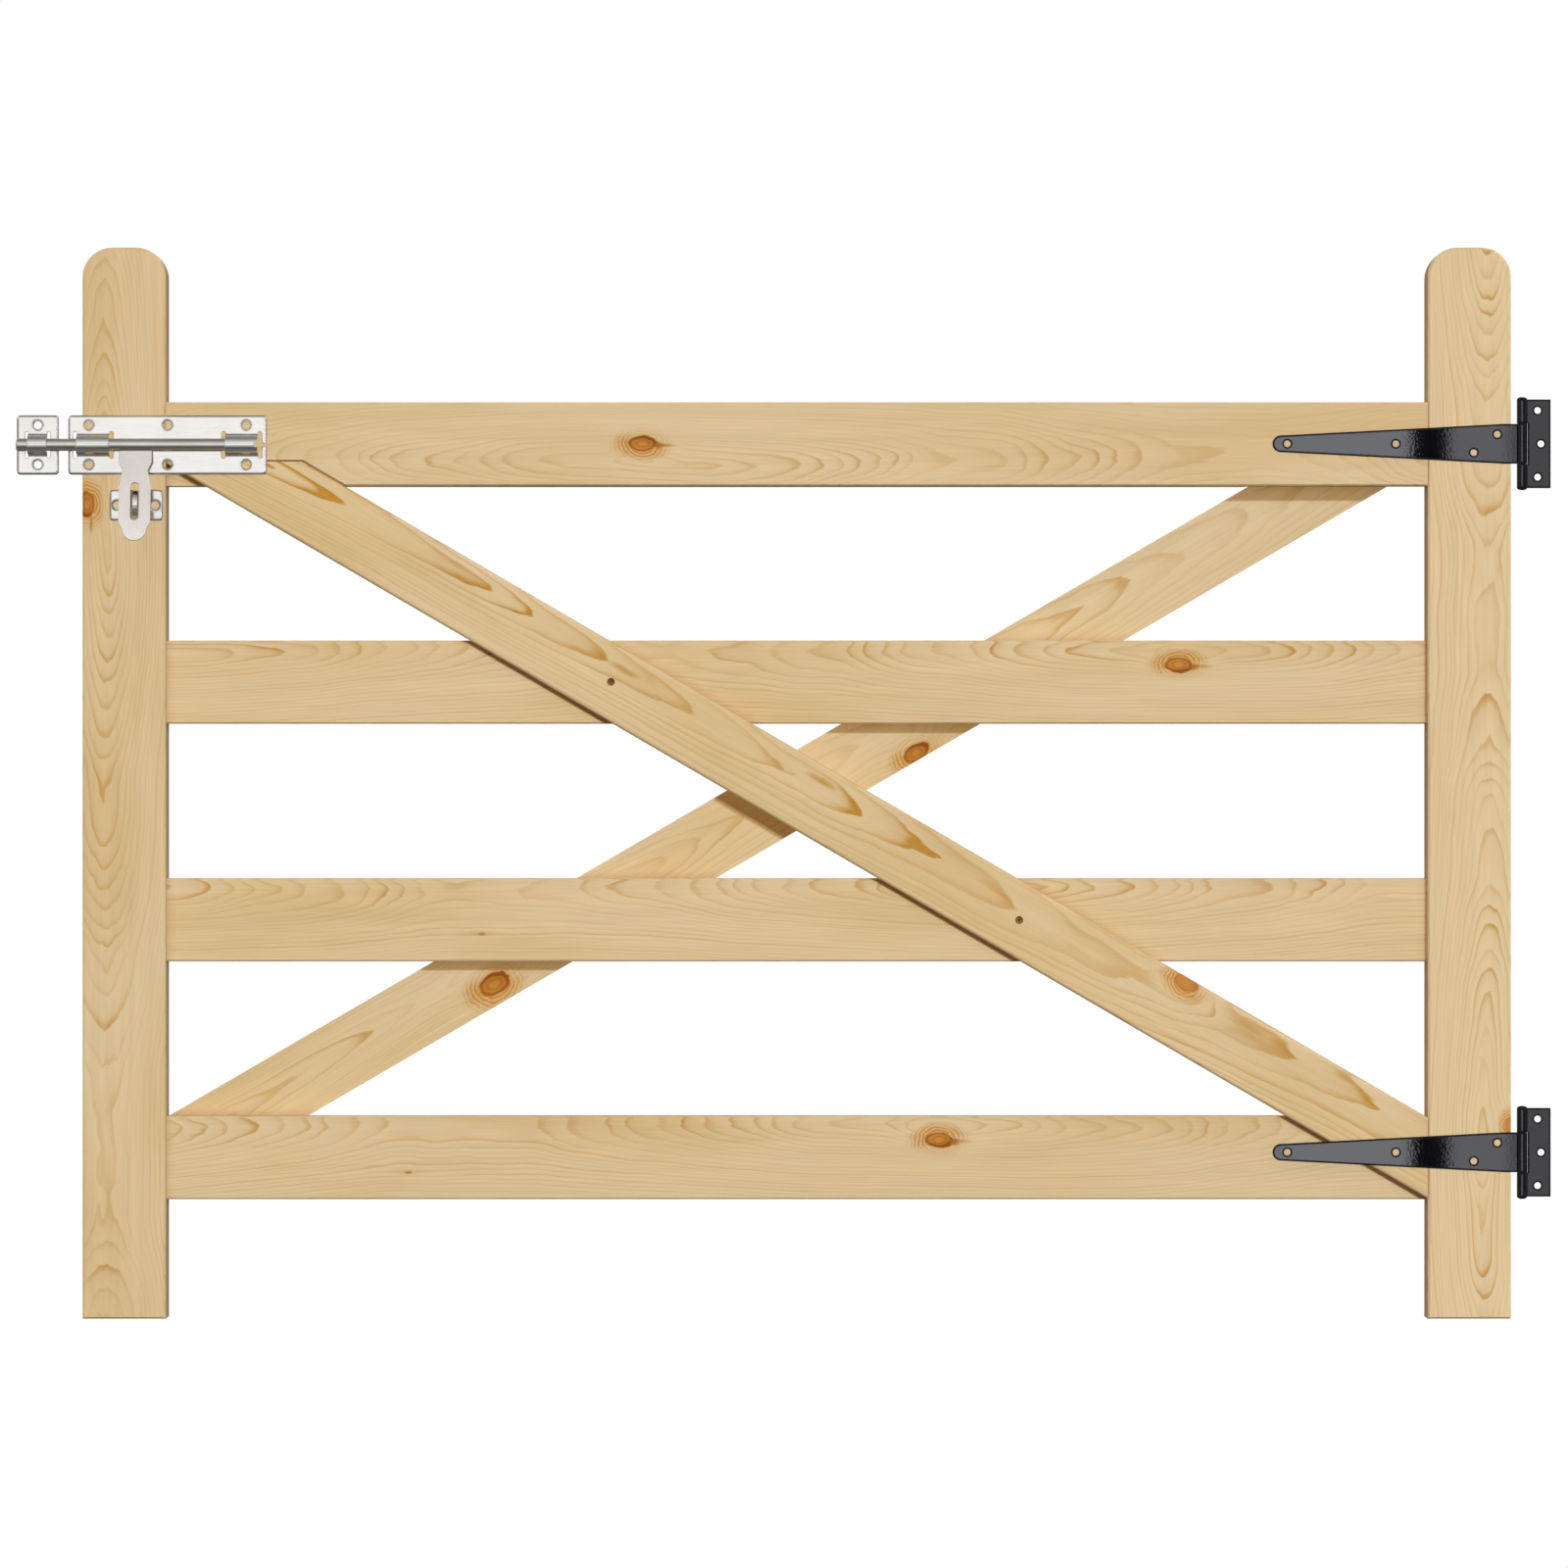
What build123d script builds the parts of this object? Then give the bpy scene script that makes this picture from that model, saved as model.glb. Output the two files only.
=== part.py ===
from build123d import *
from math import cos, radians, sin, tan
import os

# A low wooden gate with four rails, crossed braces, two T-hinges and a padlock bolt, in millimetres.
# X runs from the latch side to the hinge side, Y from front to back, and Z up. The pieces are drawn with
# X = 0 and Y = 0 in the middle of the frame and Z = 0 at the stile feet, and moved at the end so that the
# origin lies between the outer screws of the lower post plate, on the face of the post.

# Wooden frame
gate_width = 1200.0
gate_height = 900.0
gate_thickness = 44.0
stile_width = 70.0
stile_top_radius = 25.0
stile_edge_bevel = 1.6
rail_height = 70.0
rail_pitch = 200.0
bottom_rail_z = 100.0
rail_edge_bevel = 1.2
tenon_length = 35.0
tenon_height = 50.0
tenon_share = 0.5
mortise_slack = 0.25

# Braces, each let into the top rail and screwed to the two middle rails
brace_width = 59.0
brace_thickness = 11.0
brace_angle = 30.24
brace_edge_radius = 3.0
housing_height = 20.0
housing_gap = 1.5
screw_sink = 4.0
screw_hole_radius = 3.3
screw_head_radius = 3.1
screw_head_height = 2.0
screw_shank_radius = 1.8
screw_length = 20.0
screw_slack = 0.1
screw_flats = 8

# T-hinges of black sheet with rolled knuckles
hinge_sheet = 2.0
knuckle_radius = 4.4
knuckle_offset = 8.9
knuckle_gap = 0.25
curl_gap = 0.5
pin_slack = 0.05
pin_head_radius = 3.8
pin_head_height = 1.8
upper_hinge_z = 735.0
lower_hinge_z = 140.0
strap_width = 33.5
strap_root = 14.5
strap_reach = 209.3
strap_tip_radius = 7.0
strap_holes = ((196.9, 0.0), (105.7, 0.0), (40.3, -7.4), (20.5, 8.0))
post_plate_height = 74.5
post_plate_width = 24.2
post_screw_inset = 13.3
post_screw_spacing = 56.0
post_middle_inset = 16.1
hinge_hole_radius = 2.85
hinge_edge_bevel = 0.5

# Bolt, keeper and staple of bright sheet
plate_sheet = 2.5
plate_corner = 3.0
plate_corner_flats = 3
plate_edge_bevel = 1.5
plate_hole_radius = 3.3
plate_hole_bevel = 1.6
plate_hole_spacing = 33.2
bolt_z = 734.0
bolt_x = -528.4
bolt_plate_size = (167.0, 50.0)
bolt_loop_offset = 62.4
bolt_loop_length = 27.2
bolt_hole_offset = 66.1
loop_sheet = 2.2
loop_flare = 1.5
loop_flare_angle = 45.0
slit_width = 3.3
slit_height = 22.4
slit_corner = 1.0
tail_notch = (20.0, 3.0)
rod_radius = 5.25
rod_length = 192.0
rod_x = -559.1
rod_bevel = 1.0
rod_clearance = 0.4
keeper_x = -637.4
keeper_size = (35.3, 50.0)
keeper_loop_length = 16.0
keeper_slit_width = 2.6
staple_z = 683.4
staple_plate_size = (45.0, 26.3)
staple_hole_offset = 16.0
staple_bar = (5.4, 3.2)
staple_span = 26.0
staple_height = 18.9
rivet_width = 2.4
rivet_slack = 0.05

# Hasp, hung on the bolt and shown lifted just clear of the staple
hasp_x = -554.8
hasp_sheet = 2.0
hasp_lift = 15.0
hasp_shoulder = (13.8, 15.4)
hasp_neck = (10.4, 22.6)
hasp_swell = (12.4, 29.0)
hasp_body = (13.4, 36.0)
hasp_body_end = 68.4
hasp_tip_radius = 10.2
hasp_tip_center = 73.9
hasp_slot = (32.4, 7.0)
hasp_slot_center = 49.6
hasp_seat_slack = 0.06

# Sizes worked out from those above
rail_length = gate_width - 2 * stile_width
inner_x = rail_length / 2
half_thickness = gate_thickness / 2
rail_thickness = gate_thickness - 2 * brace_thickness
top_rail_z = bottom_rail_z + 3 * rail_pitch
knuckle_x = gate_width / 2 + knuckle_offset
pin_radius = knuckle_radius - hinge_sheet - pin_slack
rod_axis = plate_sheet + rod_radius + rod_clearance
loop_inner = rod_radius + rod_clearance
loop_outer = loop_inner + loop_sheet
through = 60.0
cut_margin = 1.0

# Drawing planes: on the gate's front and on its back, with X along the gate, Y up and Z towards the front
front = Plane.XZ.offset(half_thickness)
brace_seat = Plane.XZ.offset(half_thickness - brace_thickness)
back = Plane.XZ.offset(-half_thickness)
turned = Rot(0, 0, 180)
on_base = (Align.CENTER, Align.CENTER, Align.MIN)


def tenon_box(rail_z, thickness, slack):
    """Bar through a rail, long enough for both its tenons."""
    bar = Box(
        rail_length + 2 * (tenon_length + slack),
        thickness * tenon_share + 2 * slack,
        tenon_height + 2 * slack,
    )
    return Pos(0, 0, rail_z + rail_height / 2) * bar


def stile(side):
    """Upright with a rounded top and a mortise for each rail."""
    outline = Pos(0, gate_height / 2) * Rectangle(stile_width, gate_height)
    outline = fillet(outline.vertices().group_by(Axis.Y)[-1], stile_top_radius)
    middle = side * (gate_width - stile_width) / 2
    post = extrude(back * Pos(middle, 0) * outline, gate_thickness)
    faces = post.faces().sort_by(Axis.Y)
    post = chamfer(faces[0].edges() + faces[-1].edges(), stile_edge_bevel)
    for step in range(3):
        post -= tenon_box(bottom_rail_z + step * rail_pitch, rail_thickness, mortise_slack)
    return post - tenon_box(top_rail_z, gate_thickness, mortise_slack)


def rail(rail_z, thickness):
    """Rail with eased edges and a tenon at each end."""
    bar = Box(rail_length, thickness, rail_height)
    bar = chamfer(bar.edges().filter_by(Axis.X), rail_edge_bevel)
    bar = Pos(0, 0, rail_z + rail_height / 2) * bar
    return bar + tenon_box(rail_z, thickness, 0)


def middle_rail(rail_z):
    """Thin rail with pilot holes for one screw of each brace."""
    return rail(rail_z, rail_thickness) - screw_holes() - turned * screw_holes()


def top_rail():
    """Full-thickness rail with a housing for each brace, one in front and one behind."""
    return rail(top_rail_z, gate_thickness) - housing() - turned * housing()


def brace_x(height, edge):
    """Place along the gate where the brace, measured from its centre line to edge, is at a height."""
    foot = bottom_rail_z + rail_height / 2
    return inner_x - (height - foot - edge / cos(radians(brace_angle))) / tan(radians(brace_angle))


def brace_z(x, edge):
    """Height of the brace at a place along the gate, measured from its centre line to edge."""
    foot = bottom_rail_z + rail_height / 2
    return foot + (inner_x - x) * tan(radians(brace_angle)) + edge / cos(radians(brace_angle))


def housing():
    """Shallow cut in the top rail's front, open below and towards the stile, for the brace's end."""
    edge = brace_width / 2 + housing_gap
    low = top_rail_z - cut_margin
    high = top_rail_z + housing_height + housing_gap
    outline = Polygon(
        (-inner_x, low), (brace_x(low, edge), low), (brace_x(high, edge), high), (-inner_x, high), align=None
    )
    return extrude(brace_seat * outline, through)


def front_brace():
    """Diagonal from the hinge stile's foot to the housing, cut to the stile and to the top rail."""
    edge = brace_width / 2
    top = top_rail_z + housing_height
    outline = Polygon(
        (inner_x, brace_z(inner_x, -edge)),
        (inner_x, brace_z(inner_x, edge)),
        (brace_x(top, edge), top),
        (-inner_x, top),
        (-inner_x, brace_z(-inner_x, -edge)),
        align=None,
    )
    bar = extrude(brace_seat * outline, brace_thickness)
    long_edges = bar.faces().sort_by(Axis.Y)[0].edges().sort_by(SortBy.LENGTH)[-2:]
    bar = fillet(long_edges, brace_edge_radius)
    return bar - screw_holes()


def screw_places():
    """Where the brace's centre line crosses the centre lines of the two middle rails."""
    heights = [bottom_rail_z + step * rail_pitch + rail_height / 2 for step in (1, 2)]
    return [(brace_x(height, 0), height) for height in heights]


def screw_shank(slack):
    """Shank of a brace screw below its sunk head, drawn with flats because the wood hides it."""
    reach = screw_length - screw_head_height + slack
    section = RegularPolygon(screw_shank_radius + slack, screw_flats)
    return Pos(0, 0, -screw_sink - screw_head_height - reach) * extrude(section, reach)


def screw_holes():
    """Sunk holes for the brace's two screws, through the brace and into the rails."""
    sunk = Pos(0, 0, -screw_sink - screw_head_height) * Cylinder(screw_hole_radius, through, align=on_base)
    hole = sunk + screw_shank(screw_slack)
    return Part() + [front * Pos(x, z) * hole for x, z in screw_places()]


def front_brace_screws():
    """The brace's two screws, their sunk heads drawn with flats as well."""
    head = extrude(RegularPolygon(screw_head_radius, screw_flats), screw_head_height)
    screw = Pos(0, 0, -screw_sink - screw_head_height) * head + screw_shank(0)
    return Compound([front * Pos(x, z) * screw for x, z in screw_places()])


def knuckle(low, high, side):
    """Rolled barrel between two heights, its curl ending just short of the sheet on the given side."""
    barrel = Pos(0, (low + high) / 2, knuckle_radius) * Rot(90, 0, 0) * Cylinder(knuckle_radius, high - low)
    mouth = Pos(side * knuckle_radius / 2, (low + high) / 2, hinge_sheet + curl_gap / 2)
    return barrel - mouth * Box(knuckle_radius + cut_margin, high - low, curl_gap)


def pin_bore():
    """Bore through the barrels, with running room for the pin."""
    return Pos(0, 0, knuckle_radius) * Rot(90, 0, 0) * Cylinder(pin_radius + pin_slack, 2 * through)


def hinge_hole(x, y):
    """Round hole through the hinge's sheet."""
    return Pos(x, y) * Cylinder(hinge_hole_radius, through)


def hinge_strap():
    """Tapered strap with a round tip and the middle knuckle, drawn about the pin."""
    root = Pos(-strap_root / 2, 0) * Rectangle(strap_root, strap_width)
    tip = Pos(strap_tip_radius - strap_reach, 0) * Circle(strap_tip_radius)
    sheet = extrude(make_hull(root.edges() + tip.edges()), hinge_sheet)
    rim = sheet.faces().sort_by(Axis.Z)[-1].edges().sort_by(Axis.X)[:-1]
    strap = chamfer(rim, hinge_edge_bevel) + knuckle(-strap_width / 2, strap_width / 2, -1)
    return strap - pin_bore() - [hinge_hole(-x, y) for x, y in strap_holes]


def post_plate():
    """Upright plate with a knuckle above and below the strap's, drawn about the pin."""
    half = post_plate_height / 2
    recess = strap_width / 2 + knuckle_gap
    beside = (Align.MIN, Align.CENTER, Align.MIN)
    sheet = Box(post_plate_width, post_plate_height, hinge_sheet, align=beside)
    rim = sheet.faces().sort_by(Axis.Z)[-1].edges().sort_by(Axis.X)[1:]
    sheet = chamfer(rim, hinge_edge_bevel) - Box(2 * knuckle_radius + cut_margin, 2 * recess, through)
    plate = sheet + knuckle(recess, half, 1) + knuckle(-half, -recess, 1) - pin_bore()
    spread = post_screw_spacing / 2
    places = ((post_screw_inset, spread), (post_screw_inset, -spread), (post_middle_inset, 0))
    return plate - [hinge_hole(x, y) for x, y in places]


def hinge_pin():
    """Pin through the three knuckles, with a flat head at each end."""
    head = Pos(0, 0, post_plate_height / 2) * Cylinder(pin_head_radius, pin_head_height, align=on_base)
    pin = Cylinder(pin_radius, post_plate_height) + head + Rot(180, 0, 0) * head
    return Pos(0, 0, knuckle_radius) * Rot(90, 0, 0) * pin


def plate_outline(size):
    """Rectangle whose corners are rounded in a few flats."""
    corner = RegularPolygon(plate_corner, 4 * plate_corner_flats)
    spots = GridLocations(size[0] - 2 * plate_corner, size[1] - 2 * plate_corner, 2, 2)
    return make_hull([edge for spot in spots for edge in (spot * corner).edges()])


def bright_plate(size, places):
    """Sheet with rounded corners, a bevelled front edge and a countersunk hole at each place."""
    sheet = extrude(plate_outline(size), plate_sheet)
    sheet = chamfer(sheet.faces().sort_by(Axis.Z)[-1].edges(), plate_edge_bevel)
    sink = Cone(plate_hole_radius, plate_hole_radius + plate_hole_bevel, plate_hole_bevel, align=on_base)
    hole = Cylinder(plate_hole_radius, through) + Pos(0, 0, plate_sheet - plate_hole_bevel) * sink
    return sheet - [Pos(x, y) * hole for x, y in places]


def rod_loop(x, length):
    """Strip raised from the sheet in an arch over the rod, its feet flared into the sheet."""
    on_sheet = (Align.CENTER, Align.MIN)
    arch = Pos(0, rod_axis) * Circle(loop_outer) + Rectangle(2 * loop_outer, rod_axis, align=on_sheet)
    spread = 2 * (loop_outer + loop_flare)
    flare = Pos(0, plate_sheet) * Trapezoid(spread, loop_flare, loop_flare_angle, align=on_sheet)
    inside = Pos(0, rod_axis) * Circle(loop_inner) + Rectangle(2 * loop_inner, rod_axis, align=on_sheet)
    profile = arch + flare - inside
    return extrude(Plane.YZ.offset(x) * profile, length / 2, both=True)


def loop_window(x, length, slit):
    """Opening that a loop leaves in the sheet, with a taller slit at each of its ends."""
    ear = chamfer(Rectangle(slit, slit_height).vertices(), slit_corner)
    outline = Rectangle(length + slit, 2 * loop_inner)
    outline += [Pos(side * (length + slit) / 2, 0) * ear for side in (-1, 1)]
    return extrude(Pos(x, 0) * outline, through, both=True)


def bolt_plate():
    """Plate with two raised loops for the rod and six screw holes."""
    rows = (-plate_hole_spacing / 2, plate_hole_spacing / 2)
    columns = (-bolt_hole_offset, 0, bolt_hole_offset)
    plate = bright_plate(bolt_plate_size, [(x, y) for x in columns for y in rows])
    for x in (-bolt_loop_offset, bolt_loop_offset):
        plate = plate - loop_window(x, bolt_loop_length, slit_width) + rod_loop(x, bolt_loop_length)
    return plate - Pos(bolt_plate_size[0] / 2, 0) * Box(*tail_notch, through)


def keeper_plate():
    """Small plate with one raised loop that takes the end of the rod."""
    rows = (-plate_hole_spacing / 2, plate_hole_spacing / 2)
    plate = bright_plate(keeper_size, [(0, y) for y in rows])
    return plate - loop_window(0, keeper_loop_length, keeper_slit_width) + rod_loop(0, keeper_loop_length)


def bolt_rod():
    """Round bolt with a bevelled leading end, drawn about its own middle."""
    rod = Pos(0, 0, rod_axis) * Rot(0, 90, 0) * Cylinder(rod_radius, rod_length)
    return chamfer(rod.faces().sort_by(Axis.X)[0].edges(), rod_bevel)


def hasp():
    """Slotted tongue, drawn hanging from the rod's axis and then lifted about it."""
    side = Polyline((0, 0), (hasp_shoulder[0], 0), hasp_shoulder, hasp_neck)
    swell = ThreePointArc(hasp_neck, hasp_swell, hasp_body)
    shoulder = Polyline(hasp_body, (hasp_body[0], hasp_body_end), (hasp_tip_radius, hasp_tip_center))
    reach = hasp_tip_center + hasp_tip_radius
    bend = hasp_tip_radius * sin(radians(45))
    tip = ThreePointArc((hasp_tip_radius, hasp_tip_center), (bend, hasp_tip_center + bend), (0, reach))
    half = make_face(side + swell + shoulder + tip + Line((0, reach), (0, 0)))
    slot = Pos(0, hasp_slot_center) * SlotOverall(*hasp_slot, rotation=90)
    outline = half + mirror(half, Plane.YZ) - slot
    tongue = extrude(outline, hasp_sheet / 2, both=True)
    tongue -= Rot(0, 90, 0) * Cylinder(rod_radius + hasp_seat_slack, through)
    return Pos(0, 0, rod_axis) * Rot(180 - hasp_lift, 0, 0) * tongue


def staple_legs():
    """Heights of the staple's two legs above and below its middle."""
    reach = (staple_span - staple_bar[1]) / 2
    return (-reach, reach)


def staple_plate():
    """Small plate with two screw holes and a punched hole for each of the staple's ends."""
    plate = bright_plate(staple_plate_size, [(-staple_hole_offset, 0), (staple_hole_offset, 0)])
    punched = rivet_width + 2 * rivet_slack
    return plate - [Pos(0, y) * Box(punched, punched, through) for y in staple_legs()]


def staple_loop():
    """Bar bent into a loop that stands on the plate, each end riveted through it."""
    low, high = staple_legs()
    spring = staple_height - staple_span / 2
    crown = ThreePointArc((low, spring), (0, spring + high), (high, spring))
    path = Line((low, plate_sheet), (low, spring)) + crown + Line((high, spring), (high, plate_sheet))
    bar = sweep(Pos(0, low, plate_sheet) * Rectangle(*staple_bar), path=Plane.YZ * path)
    rivet = Box(rivet_width, rivet_width, plate_sheet, align=on_base)
    return bar + [Pos(0, y) * rivet for y in (low, high)]


def wooden_pieces():
    """The frame's pieces, by name."""
    return {
        "latch_stile": stile(-1),
        "hinge_stile": stile(1),
        "bottom_rail": rail(bottom_rail_z, rail_thickness),
        "lower_middle_rail": middle_rail(bottom_rail_z + rail_pitch),
        "upper_middle_rail": middle_rail(bottom_rail_z + 2 * rail_pitch),
        "top_rail": top_rail(),
        "front_brace": front_brace(),
        "rear_brace": turned * front_brace(),
        "front_brace_screws": front_brace_screws(),
        "rear_brace_screws": turned * front_brace_screws(),
    }


def hinge_pieces():
    """The two T-hinges' pieces, by name."""
    pieces = {}
    for level, height in (("upper", upper_hinge_z), ("lower", lower_hinge_z)):
        place = front * Pos(knuckle_x, height)
        pieces[f"{level}_hinge_strap"] = place * hinge_strap()
        pieces[f"{level}_post_plate"] = place * post_plate()
        pieces[f"{level}_hinge_pin"] = place * hinge_pin()
    return pieces


def bolt_pieces():
    """The padlock bolt's pieces, by name."""
    return {
        "bolt_plate": front * Pos(bolt_x, bolt_z) * bolt_plate(),
        "bolt_rod": front * Pos(rod_x, bolt_z) * bolt_rod(),
        "hasp": front * Pos(hasp_x, bolt_z) * hasp(),
        "staple_plate": front * Pos(hasp_x, staple_z) * staple_plate(),
        "staple_loop": front * Pos(hasp_x, staple_z) * staple_loop(),
        "keeper_plate": front * Pos(keeper_x, bolt_z) * keeper_plate(),
    }


os.makedirs("parts", exist_ok=True)
datum = Pos(-(knuckle_x + post_screw_inset), half_thickness, -lower_hinge_z)
for name, piece in (wooden_pieces() | hinge_pieces() | bolt_pieces()).items():
    export_step(datum * piece, f"parts/{name}.step")
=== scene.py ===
"""Dresses a low pine gate: planed boards with knots, black T-hinges and a bright padlock bolt."""

import logging
import math
from dataclasses import dataclass
from enum import Enum
from typing import Any

import bpy
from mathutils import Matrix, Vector


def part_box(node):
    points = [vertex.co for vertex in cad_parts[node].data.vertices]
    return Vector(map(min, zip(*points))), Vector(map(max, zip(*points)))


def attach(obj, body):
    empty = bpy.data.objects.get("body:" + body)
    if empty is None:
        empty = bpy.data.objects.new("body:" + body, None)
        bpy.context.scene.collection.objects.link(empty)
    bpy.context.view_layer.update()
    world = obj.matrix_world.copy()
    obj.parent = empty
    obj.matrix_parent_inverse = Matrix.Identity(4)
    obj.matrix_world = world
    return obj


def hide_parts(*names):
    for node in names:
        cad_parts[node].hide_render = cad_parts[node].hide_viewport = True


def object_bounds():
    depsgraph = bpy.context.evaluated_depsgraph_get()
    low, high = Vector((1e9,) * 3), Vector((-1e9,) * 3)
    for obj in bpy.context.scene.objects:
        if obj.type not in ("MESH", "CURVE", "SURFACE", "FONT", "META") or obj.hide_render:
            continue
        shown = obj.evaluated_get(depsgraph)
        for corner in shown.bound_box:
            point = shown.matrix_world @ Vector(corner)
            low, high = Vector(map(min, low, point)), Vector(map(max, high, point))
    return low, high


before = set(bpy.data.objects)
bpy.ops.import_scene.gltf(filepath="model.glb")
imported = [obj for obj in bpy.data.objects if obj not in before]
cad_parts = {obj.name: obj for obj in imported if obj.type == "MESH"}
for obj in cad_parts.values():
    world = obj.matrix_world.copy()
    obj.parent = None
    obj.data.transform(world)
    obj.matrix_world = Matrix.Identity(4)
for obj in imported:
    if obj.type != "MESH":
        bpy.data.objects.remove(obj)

CAD_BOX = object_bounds()
LOG = logging.getLogger("gate")

Colour = tuple[float, float, float]
Point = tuple[float, float, float]
Pair = tuple[float, float]

WHITE = (1.0, 1.0, 1.0, 1.0)
WARM_WHITE = (1.0, 0.99, 0.97)
COOL_WHITE = (0.965, 0.975, 1.045)
NO_SHINE = {"Base_Color": (0.0, 0.0, 0.0, 1.0), "Specular_IOR_Level": 0.0, "Roughness": 1.0}
FACING_BACK = (math.radians(90.0), 0.0, 0.0)
SHARP_ANGLE = math.radians(40.0)
WELD_DISTANCE = 1e-6
EDGE_SAMPLES = 6
CORNER_SAMPLES = 8


def srgb(red: int, green: int, blue: int) -> Colour:
    """Turns a colour as a screen shows it into the linear one that shaders take.

    Args:
        red: red from 0 to 255.
        green: green from 0 to 255.
        blue: blue from 0 to 255.

    Returns:
        The linear colour.
    """
    shares = (channel / 255 for channel in (red, green, blue))
    return tuple(s / 12.92 if s <= 0.04045 else ((s + 0.055) / 1.055) ** 2.4 for s in shares)


def add(name: str, data: bpy.types.ID) -> bpy.types.Object:
    """Puts a mesh, a light or a camera into the scene.

    Args:
        name: the object's name.
        data: what it shows.

    Returns:
        The object, at the origin.
    """
    item = bpy.data.objects.new(name, data)
    bpy.context.scene.collection.objects.link(item)
    return item


class Wire:
    """One output socket of a node graph, with arithmetic that adds Math nodes."""

    def __init__(self, graph: "Graph", socket: bpy.types.NodeSocket) -> None:
        """Keeps the socket and the graph that it belongs to."""
        self.graph = graph
        self.socket = socket

    def __add__(self, other: "Wire | float") -> "Wire":
        """Adds a value."""
        return self.graph.math("ADD", self, other)

    def __sub__(self, other: "Wire | float") -> "Wire":
        """Takes a value away."""
        return self.graph.math("SUBTRACT", self, other)

    def __rsub__(self, other: float) -> "Wire":
        """Takes this value away from a number."""
        return self.graph.math("SUBTRACT", other, self)

    def __mul__(self, other: "Wire | float") -> "Wire":
        """Multiplies by a value."""
        return self.graph.math("MULTIPLY", self, other)

    def __truediv__(self, other: "Wire | float") -> "Wire":
        """Divides by a value."""
        return self.graph.math("DIVIDE", self, other)

    def __neg__(self) -> "Wire":
        """Changes the sign."""
        return self.graph.math("MULTIPLY", self, -1.0)

    def __abs__(self) -> "Wire":
        """Drops the sign."""
        return self.graph.math("ABSOLUTE", self)

    __radd__ = __add__
    __rmul__ = __mul__


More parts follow.
